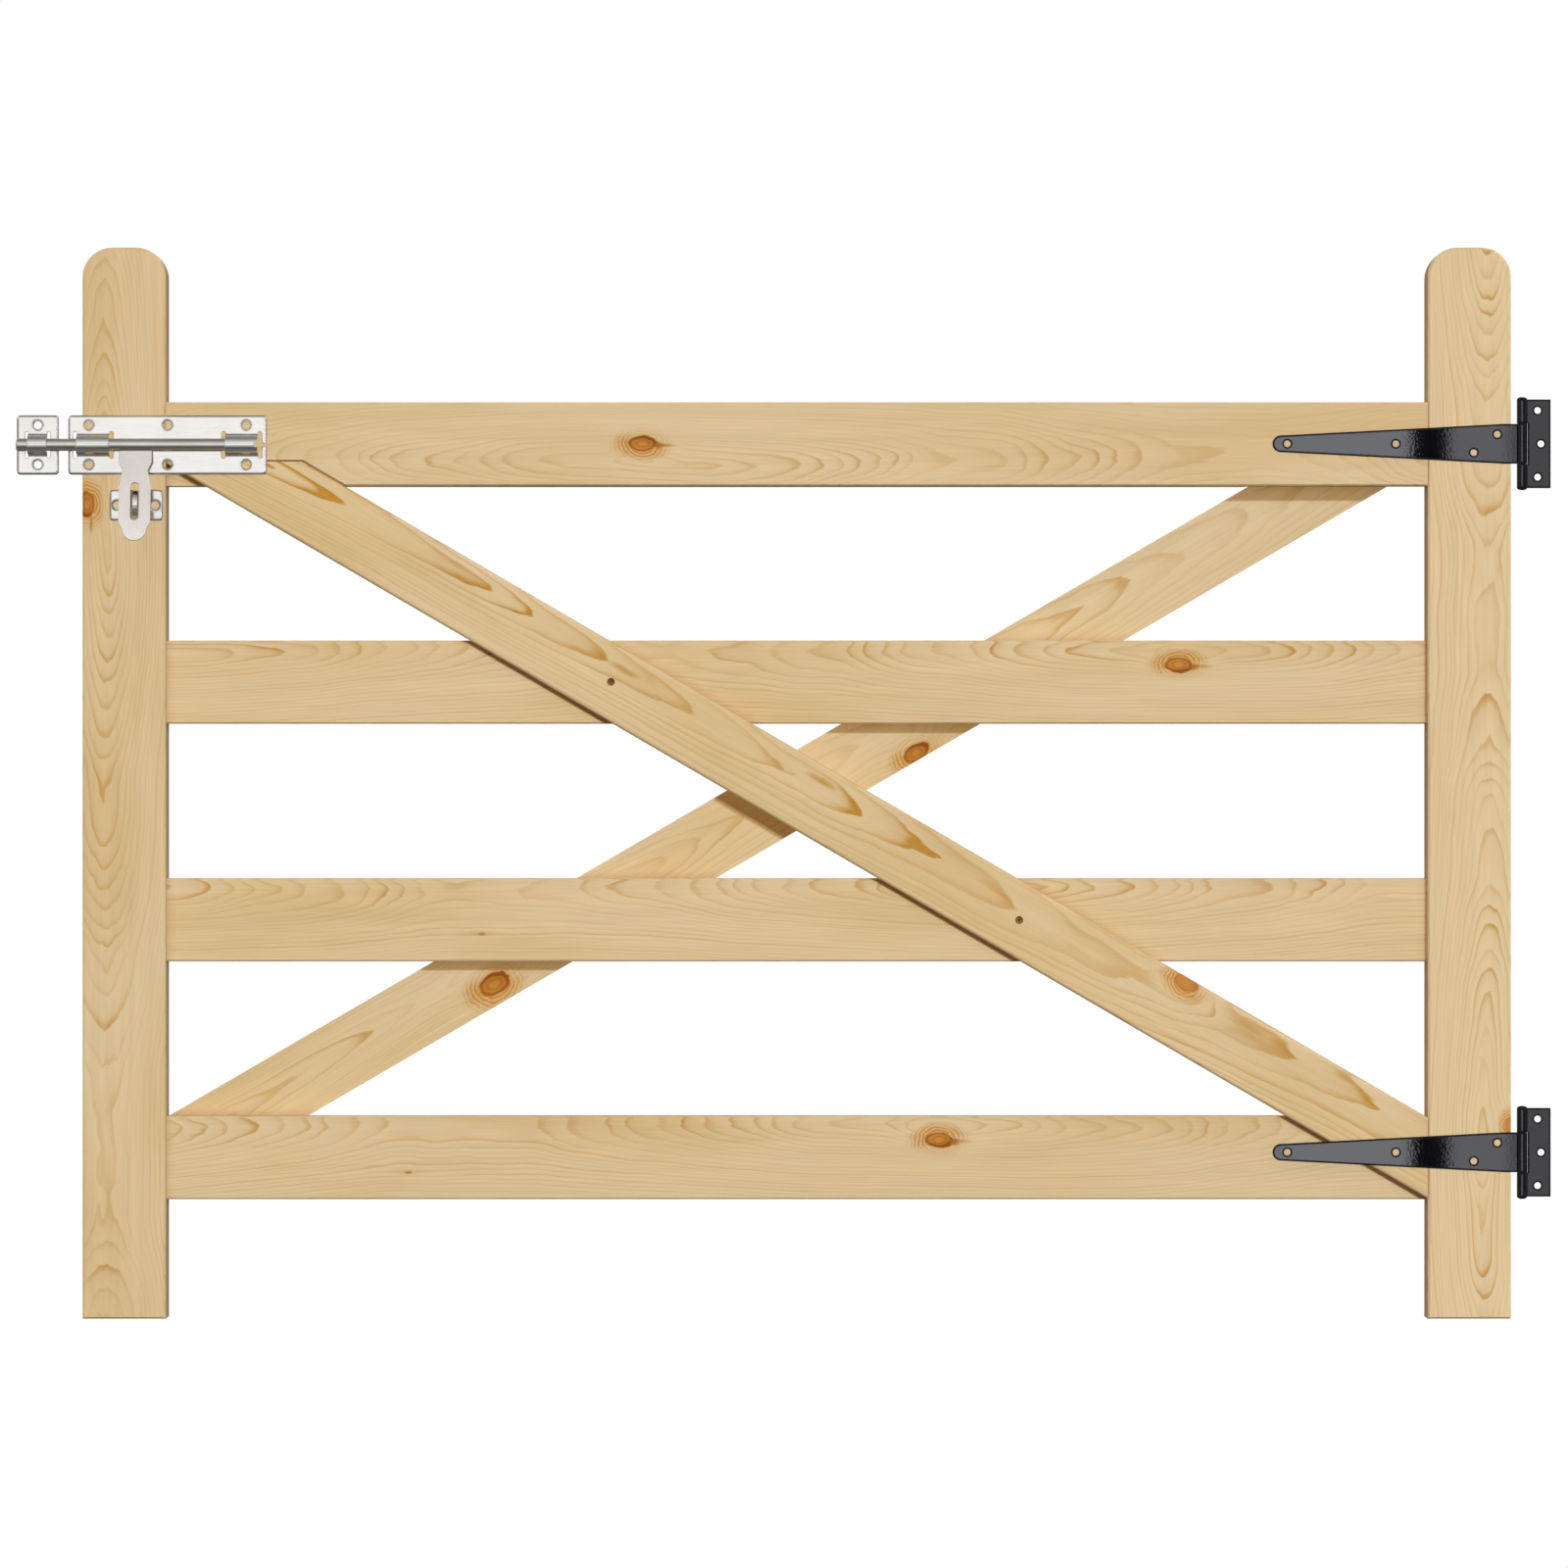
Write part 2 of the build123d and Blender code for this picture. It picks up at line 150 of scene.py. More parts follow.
class Graph:
    """A node tree with one way to make a node, and short names for the nodes used most."""

    def __init__(self, tree: bpy.types.NodeTree) -> None:
        """Takes over an empty node tree."""
        self.tree = tree
        self.tree.nodes.clear()

    @staticmethod
    def pick(sockets: Any, key: str | int) -> bpy.types.NodeSocket:
        """Finds a socket.

        Args:
            sockets: a node's inputs or outputs.
            key: the socket's place, identifier or name.

        Returns:
            The socket.
        """
        if isinstance(key, int):
            return sockets[key]
        named = [s for s in sockets if s.identifier == key] or [s for s in sockets if s.name == key]
        return named[0]

    def make(
        self,
        kind: str,
        settings: dict[str, Any] | None = None,
        inputs: dict[str | int, Any] | None = None,
        output: str | int = 0,
    ) -> Wire:
        """Adds a node.

        Args:
            kind: the node's type.
            settings: the node's own properties, and stops for a colour ramp.
            inputs: values or wires for its sockets.
            output: which output the wire stands for.

        Returns:
            The chosen output.
        """
        node = self.tree.nodes.new(kind)
        for key, value in (settings or {}).items():
            if key == "stops":
                self.fill_ramp(node.color_ramp, value)
            else:
                setattr(node, key, value)
        for key, value in (inputs or {}).items():
            socket = self.pick(node.inputs, key)
            for part in value if isinstance(value, list) else [value]:
                if isinstance(part, Wire):
                    self.tree.links.new(part.socket, socket)
                else:
                    socket.default_value = part
        chosen = self.pick(node.outputs, output) if node.outputs else None
        return Wire(self, chosen)

    @staticmethod
    def fill_ramp(ramp: bpy.types.ColorRamp, stops: tuple[Pair, ...]) -> None:
        """Sets a ramp of greys.

        Args:
            ramp: the ramp.
            stops: pairs of place and value, from the lowest place up.
        """
        while len(ramp.elements) < len(stops):
            ramp.elements.new(1.0)
        for element, (place, value) in zip(ramp.elements, stops):
            element.position = place
            element.color = (value, value, value, 1.0)

    def math(self, operation: str, *values: Wire | float) -> Wire:
        """Adds a Math node on numbers or wires."""
        return self.make("ShaderNodeMath", {"operation": operation}, dict(enumerate(values)))

    def vector(self, operation: str, first: Wire, second: Wire | Point, output: str | int = 0) -> Wire:
        """Adds a Vector Math node on two vectors."""
        return self.make("ShaderNodeVectorMath", {"operation": operation}, {0: first, 1: second}, output)

    def smooth(self, value: Wire, low: float, high: float) -> Wire:
        """Rises smoothly from 0 at low to 1 at high."""
        settings = {"interpolation_type": "SMOOTHSTEP"}
        return self.make("ShaderNodeMapRange", settings, {"Value": value, "From Min": low, "From Max": high})

    def bell(self, value: Wire) -> Wire:
        """Falls from 1 at 0 towards 0, as a bell does, for a squared distance."""
        return self.math("EXPONENT", -value)

    def split(self, vector: Wire) -> tuple[Wire, Wire, Wire]:
        """Takes a vector apart into its three values."""
        node = self.make("ShaderNodeSeparateXYZ", None, {"Vector": vector}).socket.node
        return tuple(Wire(self, socket) for socket in node.outputs)

    def join(self, x: Wire | float, y: Wire | float, z: Wire | float) -> Wire:
        """Puts three values together into a vector."""
        return self.make("ShaderNodeCombineXYZ", None, {"X": x, "Y": y, "Z": z})

    def noise(self, place: Wire, scale: Point, detail: float = 2.0, roughness: float = 0.5) -> Wire:
        """Soft noise in space, about 0.5.

        Args:
            place: where it is read.
            scale: how fine it is along each axis.
            detail: how many finer layers it has.
            roughness: how strong they are.

        Returns:
            The noise.
        """
        inputs = {"Vector": self.vector("MULTIPLY", place, scale), "Scale": 1.0}
        inputs |= {"Detail": detail, "Roughness": roughness}
        return self.make("ShaderNodeTexNoise", None, inputs)

    def wander(self, place: Wire) -> Wire:
        """Soft noise along a line, about 0."""
        inputs = {"W": place, "Scale": 1.0, "Detail": 1.0}
        return self.make("ShaderNodeTexNoise", {"noise_dimensions": "1D"}, inputs) - 0.5

    def blend(self, share: Wire | float, first: Wire | Colour, second: Wire | Colour) -> Wire:
        """Mixes two colours.

        Args:
            share: how much of the second there is.
            first: the first colour.
            second: the second colour.

        Returns:
            The mixed colour.
        """
        colours = [c if isinstance(c, Wire) else (*c, 1.0) for c in (first, second)]
        inputs = {"Factor_Float": share, "A_Color": colours[0], "B_Color": colours[1]}
        return self.make("ShaderNodeMix", {"data_type": "RGBA"}, inputs, "Result_Color")

    def brighten(self, colour: Wire, factor: Wire) -> Wire:
        """Multiplies a colour by a value."""
        return self.make("ShaderNodeVectorMath", {"operation": "SCALE"}, {0: colour, "Scale": factor})

    def eased(self, radius: float) -> Wire:
        """A surface's normal with every edge rounded off, in metres."""
        return self.make("ShaderNodeBevel", {"samples": EDGE_SAMPLES}, {"Radius": radius})

    def open_share(self, distance: float, own: bool, inside: bool = False) -> Wire:
        """How open a place is, from 1 on a face to less in a corner.

        Args:
            distance: how far it looks, in metres.
            own: whether it looks at its own object alone.
            inside: whether it looks into the object, which finds edges instead of corners.

        Returns:
            The share that is open.
        """
        settings = {"samples": CORNER_SAMPLES, "only_local": own, "inside": inside}
        return self.make("ShaderNodeAmbientOcclusion", settings, {"Distance": distance}, "AO")

    def bump(self, height: Wire, distance: float, normal: Wire | None = None) -> Wire:
        """Turns a height into a surface's normal.

        Args:
            height: the height, from 0 to 1.
            distance: how high 1 is, in metres.
            normal: the normal that it is added to, where there is one.

        Returns:
            The normal.
        """
        inputs = {"Height": height, "Distance": distance, "Strength": 1.0}
        if normal:
            inputs["Normal"] = normal
        return self.make("ShaderNodeBump", None, inputs)


class Finish(Graph):
    """A material's graph, which ends in one Principled shader."""

    def __init__(self, name: str) -> None:
        """Starts an empty material."""
        self.material = bpy.data.materials.new(name)
        self.material.use_nodes = True
        super().__init__(self.material.node_tree)
        self.place = self.make("ShaderNodeTexCoord", None, None, "Object")
        self.facing = Wire(self, self.pick(self.place.socket.node.outputs, "Normal"))

    def close(self, **inputs: Any) -> bpy.types.Material:
        """Adds the shader and the output.

        Args:
            inputs: the shader's sockets, with underscores for spaces.

        Returns:
            The finished material.
        """
        sockets = {key.replace("_", " "): value for key, value in inputs.items()}
        shader = self.make("ShaderNodeBsdfPrincipled", None, sockets)
        self.make("ShaderNodeOutputMaterial", None, {"Surface": shader})
        return self.material


class Recipe(Graph):
    """A geometry graph with named sizes, whose result becomes a plain mesh."""

    def __init__(self, name: str) -> None:
        """Starts a tree that takes geometry and gives geometry."""
        super().__init__(bpy.data.node_groups.new(name, "GeometryNodeTree"))
        self.name = name
        self.values: dict[str, float] = {}
        for way in ("INPUT", "OUTPUT"):
            self.tree.interface.new_socket(name="Geometry", in_out=way, socket_type="NodeSocketGeometry")
        self.given = self.tree.nodes.new("NodeGroupInput")
        self.start = Wire(self, self.given.outputs[0])

    def size(self, name: str, value: float) -> Wire:
        """Adds a named size.

        Args:
            name: the input's name.
            value: the size in metres.

        Returns:
            The size inside the tree.
        """
        socket = self.tree.interface.new_socket(name=name, in_out="INPUT", socket_type="NodeSocketFloat")
        self.values[socket.identifier] = value
        return Wire(self, self.pick(self.given.outputs, socket.identifier))

    def field(self, name: str) -> Wire:
        """Reads a vector that each point of the given geometry carries."""
        settings = {"data_type": "FLOAT_VECTOR"}
        return self.make("GeometryNodeInputNamedAttribute", settings, {"Name": name}, "Attribute")

    def move(self, geometry: Wire, offset: Wire) -> Wire:
        """Moves geometry."""
        return self.make("GeometryNodeTransform", None, {"Geometry": geometry, "Translation": offset})

    def weld(self, pieces: list[Wire]) -> Wire:
        """Joins pieces that share their borders."""
        joined = self.make("GeometryNodeJoinGeometry", None, {"Geometry": pieces})
        return self.make("GeometryNodeMergeByDistance", None, {"Geometry": joined, "Distance": WELD_DISTANCE})

    def lathe(self, stations: list[tuple[Wire | float, Wire | float]], sides: int = 40) -> Wire:
        """Turns a profile about Z.

        Args:
            stations: pairs of radius and height from the lowest up, with a radius of 0 at both ends.
            sides: how many flats go round.

        Returns:
            The closed surface.
        """
        bands = []
        for (low_radius, low), (high_radius, high) in zip(stations, stations[1:]):
            inputs = {"Radius Bottom": low_radius, "Radius Top": high_radius, "Depth": high - low}
            inputs["Vertices"] = sides
            band = self.make("GeometryNodeMeshCone", {"fill_type": "NONE"}, inputs)
            bands.append(self.move(band, self.join(0.0, 0.0, low)))
        return self.weld(bands)

    def repeat(self, piece: Wire, facing: Wire | None = None) -> Wire:
        """Sets a piece on each given point.

        Args:
            piece: the piece.
            facing: the direction that its Z axis is turned to, where it is turned.

        Returns:
            The pieces, as instances.
        """
        inputs = {"Points": self.start, "Instance": piece}
        if facing:
            turned = self.make("FunctionNodeAlignRotationToVector", {"axis": "Z"}, {"Vector": facing})
            inputs["Rotation"] = turned
        return self.make("GeometryNodeInstanceOnPoints", None, inputs)

    def piece(self, result: Wire, base: bpy.types.Mesh, material: bpy.types.Material) -> bpy.types.Object:
        """Runs the tree and keeps its mesh.

        Args:
            result: the geometry that the tree gives.
            base: the points or the path that it is given.
            material: the piece's finish.

        Returns:
            The piece, with no modifier left on it.
        """
        real = self.make("GeometryNodeRealizeInstances", None, {"Geometry": result})
        finished = self.make("GeometryNodeSetMaterial", None, {"Geometry": real, "Material": material})
        self.make("NodeGroupOutput", None, {0: finished})
        piece = add(self.name, base)
        modifier = piece.modifiers.new(self.name, "NODES")
        modifier.node_group = self.tree
        for identifier, value in self.values.items():
            modifier[identifier] = value
        shown = piece.evaluated_get(bpy.context.evaluated_depsgraph_get())
        mesh = bpy.data.meshes.new_from_object(shown)
        piece.modifiers.remove(modifier)
        piece.data = mesh
        mesh.shade_smooth()
        mesh.set_sharp_from_angle(angle=SHARP_ANGLE)
        LOG.info("made %s: %d faces", self.name, len(mesh.polygons))
        return piece


def dotted(name: str, points: list[Point], joined: bool = False) -> bpy.types.Mesh:
    """Makes a mesh of points alone, or of a path through them.

    Args:
        name: the mesh's name.
        points: the places, in metres.
        joined: whether a path joins them.

    Returns:
        The mesh.
    """
    mesh = bpy.data.meshes.new(name)
    edges = [(index, index + 1) for index in range(len(points) - 1)] if joined else []
    mesh.from_pydata(points, edges, [])
    return mesh


def seat(piece: bpy.types.Object, body: str, slot: str, *nodes: str) -> None:
    """Lets a piece stand for nodes of the frame.

    Args:
        piece: the finished piece.
        body: the body that it moves with.
        slot: the record's material slot; not used.
        nodes: the nodes that it stands for.
    """
    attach(piece, body)
    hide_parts(*nodes)


def dress(node: str, material: bpy.types.Material, shadow: bool = True) -> None:
    """Gives a node of the frame its finish.

    Args:
        node: the node's name.
        material: what it is finished with.
        shadow: whether it throws one.
    """
    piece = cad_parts[node]
    piece.visible_shadow = shadow
    piece.data.materials.clear()
    piece.data.materials.append(material)
    LOG.info("dressed %s with %s", node, material.name)


class Grain(Enum):
    """Which way a board's grain runs, as the board's turn about the depth axis in degrees."""

    LEVEL = 0.0
    UPRIGHT = -90.0
    FALLING = 30.24
    RISING = -30.24


@dataclass(frozen=True)
class Knot:
    """A branch, a swirl or a resin streak that shows on a board's face.

    Attributes:
        x: place along the gate, in metres.
        z: height, in metres.
        length: half length of the mark along the grain.
        width: half width of the mark across the grain.
        core: how brown its middle is.
        rim: how dark the line round it is.
        swirl: how far the growth rings close in on it, in metres.
        reach: how many times its own size the swirl reaches.
        halo: how orange the arcs round it are.
        tone: how dark the whole of its middle is.
        edge: where its middle begins to fade out, as a share of its size.
        lean: along and across the grain, the side where its bark line is thickest.
        taper: how much smaller it is at the back of the board, as a share of its size.
    """

    x: float
    z: float
    length: float = 0.0115
    width: float = 0.0065
    core: float = 0.9
    rim: float = 0.9
    swirl: float = 0.007
    reach: float = 2.4
    halo: float = 1.0
    tone: float = 0.0
    edge: float = 0.78
    lean: Pair = (0.6, 0.8)
    taper: float = 0.25


@dataclass(frozen=True)
class Spot:
    """A place on a board, in the board's own axes.

    Attributes:
        along: from the board's middle along the grain, in metres.
        depth: from its middle towards the back.
        across: from its middle across the grain.
        inward: from 0 at its front to 1 at its back.
        shifted: all three, moved by the board's seed for the noise.
    """

    along: Wire
    depth: Wire
    across: Wire
    inward: Wire
    shifted: Wire


@dataclass(frozen=True)
class Mark:
    """Where a place on a board lies from one knot.

    Attributes:
        distance: from the knot's middle, in units of the knot's own size.
        ripple: the same with the width counted less, which spaces the arcs round the knot.
        spread: the squared distance in units of the knot's reach.
        side: how far towards the side that the knot leans to.
    """

    distance: Wire
    ripple: Wire
    spread: Wire
    side: Wire


@dataclass(frozen=True)
class Board:
    """One pine board of the gate and how its grain lies.

    Attributes:
        node: the frame's node.
        grain: which way the grain runs.
        seed: shifts the board's noise.
        heart_across: where the tree's heart lies across the face, in metres from the middle.
        nearest: where along the board, from its middle, the heart comes nearest to the face.
        half_wave: how far it is from there to where the heart lies deepest.
        heart_gap: how deep the heart lies below the front where it is nearest.
        slope: how fast it goes deeper, which spaces the arches of the grain.
        ring: width of one year's growth.
        contrast: how much the growth rings show.
        flame: how far the tips of the arches are filled with colour.
        tint: brightness of the board.
        warmth: how much warmer than the others it is.
        knots: the marks on its face.
    """

    node: str
    grain: Grain
    seed: float
    heart_across: float
    nearest: float
    half_wave: float = 0.5
    heart_gap: float = 0.008
    slope: float = 0.118
    ring: float = 0.0026
    contrast: float = 0.85
    flame: float = 0.12
    tint: float = 1.0
    warmth: float = 0.0
    knots: tuple[Knot, ...] = ()


@dataclass(frozen=True)
class Pine:
    """Planed, unvarnished pine: pale wood between honey-coloured growth rings.

    Attributes:
        pale: early wood.
        warm: early wood where the board is warmer.
        late: the late wood of each ring.
        amber: wood full of resin round a knot.
        brown: a knot's middle.
        dark: a knot's bark line, and the painted shade in corners between boards.
        roughness: of the planed face.
        fibre_blur: how much the fibres change the roughness.
        late_polish: how much smoother the late wood is.
        gloss: how much the face mirrors.
        relief: how far the grain stands up, in metres.
        fibre: fineness of the fibres along, through and across the board.
        streak: fineness of the lighter and darker streaks.
        cloud: fineness of the warmer patches.
        lump: fineness of what makes the knots ragged.
        fade: fineness of what makes the late wood come and go.
        wave: fineness of the waves in the growth rings.
        wave_height: their height, in metres.
        sway: how often along a metre the heart moves sideways, and how far.
        rise: how often along a metre it moves up and down, and how far for a slope of 1.
        rise_shift: added to the seed there, so that the two don't move alike.
        unevenness: how fast the years' width changes away from the heart, and how much.
        clearing: how close round a knot the late wood fades out, and how far.
        least: the least size that a knot tapers to, as a share of its size at the front.
        arc_pace: how close together the arcs round a knot are.
        ring_pace: how close together the rings in a knot are.
        outline: how thin the line round a knot is.
        fibre_shade: how much the fibres change the brightness.
        streak_shade: how much the streaks change it.
        end_shade: how much darker the end grain is.
        painted_shade_reach: how far from a corner between two boards shade is painted into the wood.
        painted_shade_strength: how much darker that painted shade makes it.
        bend: how gently the heart turns where it is nearest or deepest, in metres along the board.
        tip_width: how far the tips of the arches reach to each side.
    """

    pale: Colour = srgb(219, 198, 158)
    warm: Colour = srgb(212, 187, 141)
    late: Colour = srgb(186, 138, 58)
    amber: Colour = srgb(192, 130, 38)
    brown: Colour = srgb(198, 136, 60)
    dark: Colour = srgb(140, 76, 14)
    roughness: float = 0.58
    fibre_blur: float = 0.2
    late_polish: float = 0.08
    gloss: float = 0.15
    relief: float = 0.00012
    fibre: Point = (22.0, 480.0, 480.0)
    streak: Point = (5.0, 130.0, 130.0)
    cloud: Point = (3.5, 16.0, 16.0)
    lump: Point = (110.0, 170.0, 170.0)
    fade: Point = (6.0, 45.0, 45.0)
    wave: Point = (22.0, 90.0, 90.0)
    wave_height: float = 0.0025
    sway: Pair = (2.2, 0.02)
    rise: Pair = (9.0, 0.068)
    rise_shift: float = 31.0
    unevenness: Pair = (90.0, 1.6)
    clearing: Pair = (0.6, 0.85)
    least: float = 0.05
    arc_pace: float = 23.0
    ring_pace: float = 13.0
    outline: float = 9.0
    fibre_shade: float = 0.2
    streak_shade: float = 0.16
    end_shade: float = 0.22
    painted_shade_reach: float = 0.012
    painted_shade_strength: float = 0.3
    bend: float = 0.05
    tip_width: float = 0.011

    def material(self, board: Board) -> bpy.types.Material:
        """Makes one board's finish.

        Args:
            board: the board and its grain.

        Returns:
            The board's material.
        """
        finish = Finish(f"pine_{board.node}")
        low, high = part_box(board.node)
        middle = (low + high) / 2
        turn = math.radians(board.grain.value)
        inputs = {"Vector": finish.place, "Location": middle, "Rotation": (0.0, turn, 0.0)}
        local = finish.make("ShaderNodeMapping", {"vector_type": "TEXTURE"}, inputs)
        along, depth, across = finish.split(local)
        shifted = finish.vector("ADD", local, (board.seed,) * 3)
        spot = Spot(along, depth, across, depth / (high.y - low.y) + 0.5, shifted)
        marks = [(knot, self.mark_place(finish, knot, middle, turn, spot)) for knot in board.knots]

        rings, tip = self.growth(finish, board, spot)
        for knot, mark in marks:
            rings = rings - finish.bell(mark.spread) * knot.swirl
        late = self.late_wood(finish, board, rings, tip, spot)
        close, far = self.clearing
        for knot, mark in marks:
            if knot.halo:
                late = late * (1.0 - finish.bell(mark.spread * close) * far)
        fibre = finish.noise(shifted, self.fibre, 4.0, 0.65)
        streak = finish.noise(shifted, self.streak)
        cloud = finish.noise(shifted, self.cloud)
        lump = finish.noise(shifted, self.lump)

        colour = finish.blend(finish.smooth(cloud + board.warmth, 0.35, 0.68), self.pale, self.warm)
        colour = finish.blend(late * board.contrast, colour, self.late)
        for knot, mark in marks:
            colour = self.stain(finish, knot, mark, colour, fibre, lump)
        axis = Vector((math.cos(turn), 0.0, -math.sin(turn)))
        end = finish.smooth(abs(finish.vector("DOT_PRODUCT", finish.facing, axis, "Value")), 0.6, 0.98)
        shade = 1.0 + (fibre - 0.5) * self.fibre_shade + (streak - 0.5) * self.streak_shade
        colour = finish.brighten(colour, (shade - end * self.end_shade) * board.tint)
        # Painted shade: occlusion darkens the wood towards the dark colour in corners between boards and
        # along their joints.
        open_share = finish.smooth(finish.open_share(self.painted_shade_reach, False), 0.4, 0.9)
        return finish.close(
            Base_Color=finish.blend(self.painted_shade_strength - open_share * self.painted_shade_strength, colour, self.dark),
            Roughness=self.roughness + (fibre - 0.5) * self.fibre_blur - late * self.late_polish,
            Normal=finish.bump(late * 0.6 + fibre * 0.4, self.relief),
            Specular_IOR_Level=self.gloss,
        )

    def mark_place(self, finish: Finish, knot: Knot, middle: Vector, turn: float, spot: Spot) -> Mark:
        """Measures from a mark on the face.

        Args:
            finish: the graph.
            knot: the mark.
            middle: the board's middle.
            turn: the board's turn about the depth axis.
            spot: place on the board.

        Returns:
            What the mark's colours are made from.
        """
        east, up = knot.x - middle.x, knot.z - middle.z
        grain_place = math.cos(turn) * east - math.sin(turn) * up
        cross_place = math.sin(turn) * east + math.cos(turn) * up
        size = finish.math("MAXIMUM", 1.0 - spot.inward * knot.taper, self.least)
        length = (spot.along - grain_place) / (size * knot.length)
        width = (spot.across - cross_place) / (size * knot.width)
        squared = length * length + width * width
        return Mark(
            distance=finish.math("SQRT", squared),
            ripple=finish.math("SQRT", length * length + width * width * 0.5),
            spread=squared / knot.reach**2,
            side=length * knot.lean[0] + width * knot.lean[1],
        )

    def growth(self, finish: Finish, board: Board, spot: Spot) -> tuple[Wire, Wire]:
        """Distance from the tree's heart, which comes nearer to the face and goes deeper along the board.

        Args:
            finish: the graph.
            board: the board.
            spot: place on the board.

        Returns:
            The distance in metres, and a value that is 1 over the heart, where the arches have their tips.
        """
        low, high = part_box(board.node)
        front = (low.y - high.y) / 2
        bend = self.bend
        wave = finish.math("PINGPONG", spot.along - board.nearest, board.half_wave)
        eased = finish.math("SMOOTH_MIN", wave, board.half_wave - bend, bend)
        fall = finish.math("SMOOTH_MAX", eased, bend, bend) * board.slope
        sway = finish.wander(spot.along * self.sway[0] + board.seed) * self.sway[1]
        start = board.seed + self.rise_shift
        rise = finish.wander(spot.along * self.rise[0] + start) * (self.rise[1] * board.slope)
        place = finish.join(spot.along + board.seed, spot.depth, spot.across)
        ripple = (finish.noise(place, self.wave) - 0.5) * self.wave_height
        beside = spot.across - sway - board.heart_across
        below = spot.depth - fall - rise - (front + board.heart_gap - bend * board.slope)
        tip = finish.bell(beside * beside / self.tip_width**2)
        return finish.math("SQRT", beside * beside + below * below) + ripple, tip

    def late_wood(self, finish: Finish, board: Board, rings: Wire, tip: Wire, spot: Spot) -> Wire:
        """Where the dense late wood of each year lies.

        Args:
            finish: the graph.
            board: the board.
            rings: distance from the heart.
            tip: how near the tips of the arches are.
            spot: place on the board.

        Returns:
            A value from 0 in early wood towards 1 at the end of a strong year.
        """
        often, much = self.unevenness
        years = rings / board.ring + finish.wander(rings * often + board.seed) * much
        part = finish.math("FRACT", years)
        year = finish.math("FLOOR", years) + board.seed
        dice = finish.make("ShaderNodeTexWhiteNoise", {"noise_dimensions": "1D"}, {"W": year})
        fade = finish.smooth(finish.noise(spot.shifted, self.fade), 0.3, 0.62)
        crisp = finish.smooth(part, 0.62, 0.9) * 0.7
        gradual = finish.smooth(part, 0.1, 0.9) * 0.3
        end = 1.0 - finish.smooth(part, 0.92, 1.0)
        line = (crisp + gradual) * end * (tip * 0.5 + 0.5)
        flame = finish.smooth(part, 0.4, 0.95) * end * tip * tip * board.flame
        return (line + flame) * (dice * 0.65 + 0.35) * (fade * 0.5 + 0.5)

    def stain(
        self, finish: Finish, knot: Knot, mark: Mark, colour: Wire, fibre: Wire, lump: Wire
    ) -> Wire:
        """Colours a mark and the wood round it.

        Args:
            finish: the graph.
            knot: the mark.
            mark: where it lies.
            colour: the wood's colour so far.
            fibre: fine noise along the grain.
            lump: noise of a few millimetres.

        Returns:
            The colour with the mark on it.
        """
        side = mark.side
        bumpy = lump - 0.5
        stringy = fibre - 0.5
        ragged = mark.distance + bumpy * 0.5 + stringy * 0.2
        if knot.halo:
            wavy = mark.ripple + bumpy * 0.4 + stringy * 0.12
            wave = finish.math("SINE", wavy * self.arc_pace) * 0.37 + 0.63
            away = 1.0 - finish.smooth(side, -0.4, 0.9) * 0.65
            arcs = wave * away * (1.0 - finish.smooth(ragged, 1.35, 2.5))
            glow = 0.85 - finish.smooth(ragged, 0.9, 1.3) * 0.85
            colour = finish.blend(finish.math("MAXIMUM", arcs, glow) * knot.halo, colour, self.amber)
        core = (1.0 - finish.smooth(ragged, knot.edge, 0.98)) * knot.core
        heart = tuple(late + (dark - late) * knot.tone for late, dark in zip(self.late, self.dark))
        if knot.halo or knot.rim:
            rings = finish.math("SINE", mark.distance * self.ring_pace + lump * 5.0) * 0.22
            mottled = mark.distance + side * 0.25 + stringy * 0.6 + rings
            shade = finish.smooth(mottled, 0.05, 1.0) * (0.75 * (1.0 - knot.tone)) + knot.tone
            heart = finish.blend(shade, self.brown, self.dark)
        colour = finish.blend(core, colour, heart)
        if knot.rim:
            bark = finish.smooth(ragged + side * 0.25, 0.75, 0.95)
            bark = bark * (1.0 - finish.smooth(ragged - side * 0.08, 0.9, 1.02))
            line = (ragged - 0.88) * self.outline
            thin = finish.bell(line * line) * 0.6
            colour = finish.blend(finish.math("MAXIMUM", bark, thin) * knot.rim, colour, self.dark)
        return colour


@dataclass(frozen=True)
class BlackCoat:
    """Gloss black powder coat with the orange peel that such a coat has.

    Attributes:
        base: the coat's own colour.
        bloom: the coat where it is a little hazy.
        roughness: how far it blurs what it mirrors.
        gloss: how much it mirrors.
        peel: fineness of the orange peel.
        peel_height: its height, in metres.
        haze: fineness of the hazy patches.
        haze_blur: how much they change the roughness.
        edge: how far from an edge the coat is duller.
        edge_roughness: how far it blurs there.
    """

    base: Colour = srgb(11, 11, 14)
    bloom: Colour = srgb(18, 18, 22)
    roughness: float = 0.035
    gloss: float = 0.22
    peel: Point = (450.0, 450.0, 450.0)
    peel_height: float = 0.00002
    haze: Point = (35.0, 35.0, 35.0)
    haze_blur: float = 0.03
    edge: float = 0.0019
    edge_roughness: float = 0.7

    def material(self) -> bpy.types.Material:
        """Makes the finish.

        Returns:
            The material.
        """
        finish = Finish("gloss_black")
        peel = finish.noise(finish.place, self.peel)
        haze = finish.noise(finish.place, self.haze, 3.0)
        worn = 1.0 - finish.smooth(finish.open_share(self.edge, True, True), 0.85, 1.0)
        return finish.close(
            Base_Color=finish.blend(finish.smooth(haze, 0.35, 0.75), self.base, self.bloom),
            Roughness=self.roughness + (haze - 0.5) * self.haze_blur + worn * self.edge_roughness,
            Normal=finish.bump(peel, self.peel_height, finish.eased(self.edge)),
            Specular_IOR_Level=self.gloss,
        )


